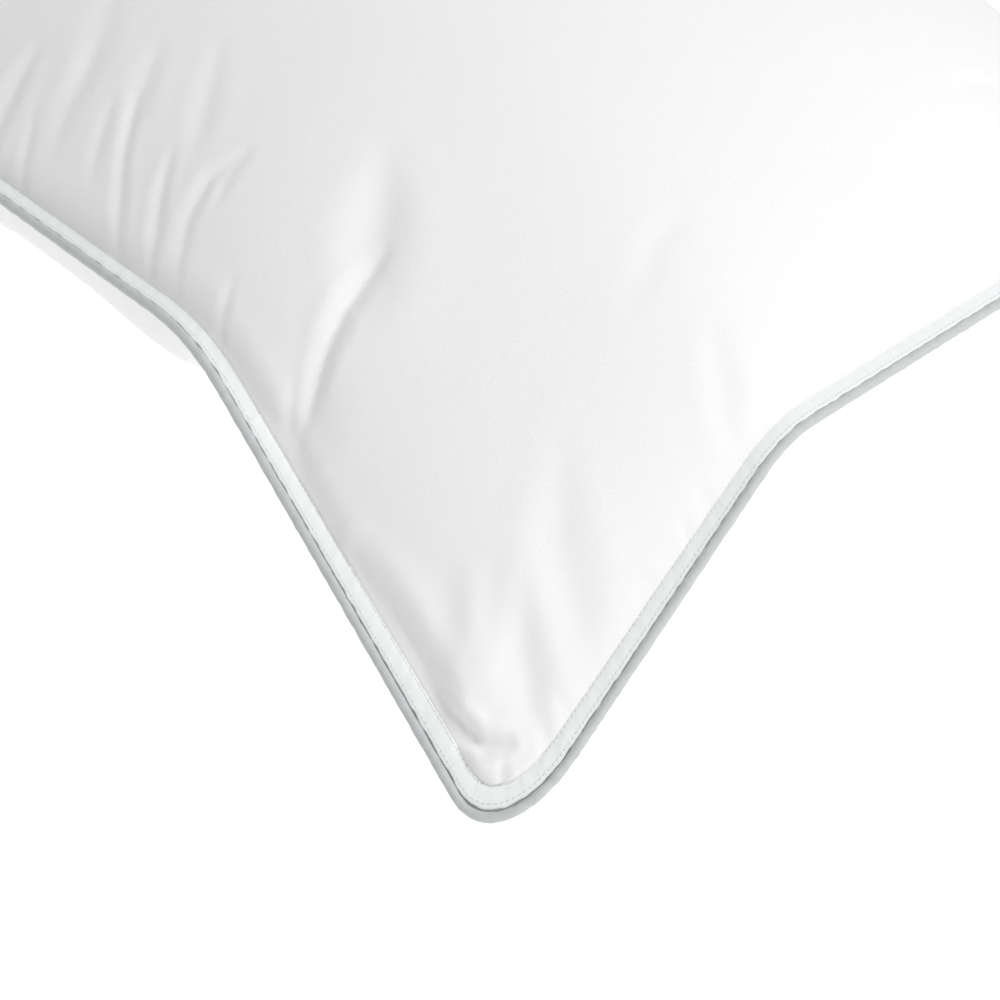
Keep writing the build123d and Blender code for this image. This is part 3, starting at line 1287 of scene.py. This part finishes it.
# The folds of the near corner: course, depth, width, crispness and rim.
NEAR_FOLDS = (
    # Long creases that run up from the long seam, past the ear's bend.
    Fold(((294, 56), (281, 32), (269, 15), (262, 4)), 1.7, 2.8, 1.1, 0.25),
    Fold(((263, 46), (257, 31), (249, 17), (245, 4)), 1.6, 2.8, 1.1, 0.25),
    Fold(((235, 62), (241, 45), (240, 30), (230, 8)), 1.5, 3.2, 1.2, 0.2),
    Fold(((233, 64), (234, 50), (232, 38)), 0.9, 2.8, 1.3, 0.2),
    # Short creases and soft hollows beside them.
    Fold(((302, 50), (297, 33), (291, 21)), 0.9, 3.0, 1.4, 0.2),
    Fold(((335, 30), (326, 8), (323, 2)), 1.2, 2.8, 1.3, 0.2),
    Fold(((300, 78), (293, 58), (285, 42)), 1.0, 5.0, 1.8, 0.2),
    Fold(((326, 62), (322, 42), (316, 22)), 1.0, 5.0, 1.8, 0.2),
    Fold(((340, 90), (326, 64), (316, 44)), 0.9, 7.0, 2.0, 0.2),
    Fold(((276, 92), (262, 66), (254, 50)), 0.8, 5.0, 2.0, 0.2),
    Fold(((208, 24), (204, 12), (202, 3)), 1.1, 2.8, 1.3, 0.2),
    # The hollow where the ear bends, and the deep fold that leads from it down to the seam.
    Fold(((182, 100), (171, 84), (162, 68), (159, 52)), 3.2, 13.0, 2.0, 0.1),
    Fold(((161, 78), (161, 54), (158, 38), (153, 22)), 3.2, 4.4, 1.1, 0.15),
    Fold(((158, 40), (153, 24), (148, 4)), 1.4, 5.0, 1.5, 0.0),
    Fold(((170, 36), (156, 22), (136, 12)), 1.6, 15.0, 2.0, 0.0),
    Fold(((164, 22), (157, 13), (150, 4)), 1.2, 3.4, 1.3, 0.1),
    # The valley beside the long seam, which turns into a curl across the tip.
    Fold(((360, 7), (290, 7), (220, 7), (160, 7.5), (100, 7.5)), 1.8, 5.0, 1.6, 0.3),
    Fold(((104, 7.5), (84, 7), (62, 6.5), (45, 6.5), (34, 8)), 4.2, 7.0, 1.6, 0.5),
    Fold(((60, 6.5), (41, 8.5), (33, 12), (26, 14.5), (18, 23)), 3.6, 2.8, 1.2, 0.6),
    Fold(((60, 38), (46, 27), (37, 21), (27, 23)), -2.4, 9.0, 2.0, 0.1),
    # Fine creases in the tip.
    Fold(((34, 5), (26, 7), (19, 9)), 1.0, 1.8, 1.3, 0.4),
    Fold(((18, 19), (14, 15), (10, 13)), 1.0, 1.8, 1.3, 0.4),
    # Soft valleys up the ear, and two faint ones beside the short seam.
    Fold(((42, 52), (30, 42), (22, 38), (15, 34)), 1.6, 7.0, 2.0, 0.3),
    Fold(((56, 88), (42, 73), (28, 68), (16, 64)), 1.5, 10.0, 2.0, 0.25),
    Fold(((42, 164), (30, 157), (19, 150), (8, 149)), 0.6, 6.0, 2.0, 0.3),
    Fold(((13, 178), (7, 178)), 0.7, 4.5, 2.0, 0.2),
)


def edge_gathers(seed: int) -> tuple[Fold, ...]:
    """Draw small gathers that run in from the seam, away from the named folds.

    Args:
        seed: Number that picks their places.

    Returns:
        The gathers.
    """
    draw = np.random.default_rng(seed)
    long_side, short_side = 660.0, 508.0
    gathers = []
    for number in range(64):
        reach = 16.0 + 50.0 * draw.random() ** 2
        lean = draw.normal(0.0, 0.25) * reach
        depth, width, share = 0.9 + 1.6 * draw.random(), 2.4 + 2.6 * draw.random(), draw.random()
        if number % 4 == 0:
            at = 20.0 + 320.0 * share
            course = ((0.35 * reach, at + 0.35 * lean), (3.0, at))
            depth, width = 0.35 * depth, 0.7 * width
        elif number % 4 == 1:
            at = 12.0 + (long_side - 24.0) * share
            course = ((at + lean, short_side - reach), (at, short_side - 3.0))
        elif number % 4 == 2:
            at = 12.0 + (short_side - 24.0) * share
            course = ((long_side - reach, at + lean), (long_side - 3.0, at))
        else:
            at = 345.0 + (long_side - 360.0) * share
            course = ((at + lean, reach), (at, 3.0))
        gathers.append(Fold(course, depth, width, 1.3, 0.3))
    return tuple(gathers)


def main() -> None:
    """Build the pillow, then the studio, and report each piece."""
    logging.basicConfig(level=logging.INFO, format="%(name)s: %(message)s")
    seam = Seam()
    stitches = round(SeamWalk(seam, 400).length / STITCH)
    fine = SeamWalk(seam, stitches * 3)
    coarse = SeamWalk(seam, stitches)
    pitch = fine.length / stitches
    wardrobe = Wardrobe.sewn(pitch)
    studio = Studio()
    studio.set_camera()
    pieces = [
        Cover(seam, wardrobe.percale, folds=NEAR_FOLDS + edge_gathers(7), back_folds=edge_gathers(11)).build(),
        Flange(fine, wardrobe.stitched, pitch).build(),
        Piping(SeamWalk(seam, 1150), wardrobe.tape).build(),
    ]
    for row, inset, height in (("outer", OUTER_ROW, 0.86), ("inner", INNER_ROW, 0.66)):
        for side, panel, thread in ((Side.FRONT, "front", "top"), (Side.BACK, "back", "under")):
            name, node = f"{row}_stitches_{panel}", f"{row}_row_{thread}_thread"
            stitching = StitchRow(name, node, coarse, wardrobe.thread, side, inset * MM, height * MM, pitch)
            pieces.append(stitching.build())
    pieces.append(CareLabel(wardrobe.label).build())
    for piece in pieces:
        LOG.info("%s: %d faces", piece.name, len(piece.data.polygons))
    studio.set_floor()
    studio.set_light()


if __name__ == "__main__":
    main()
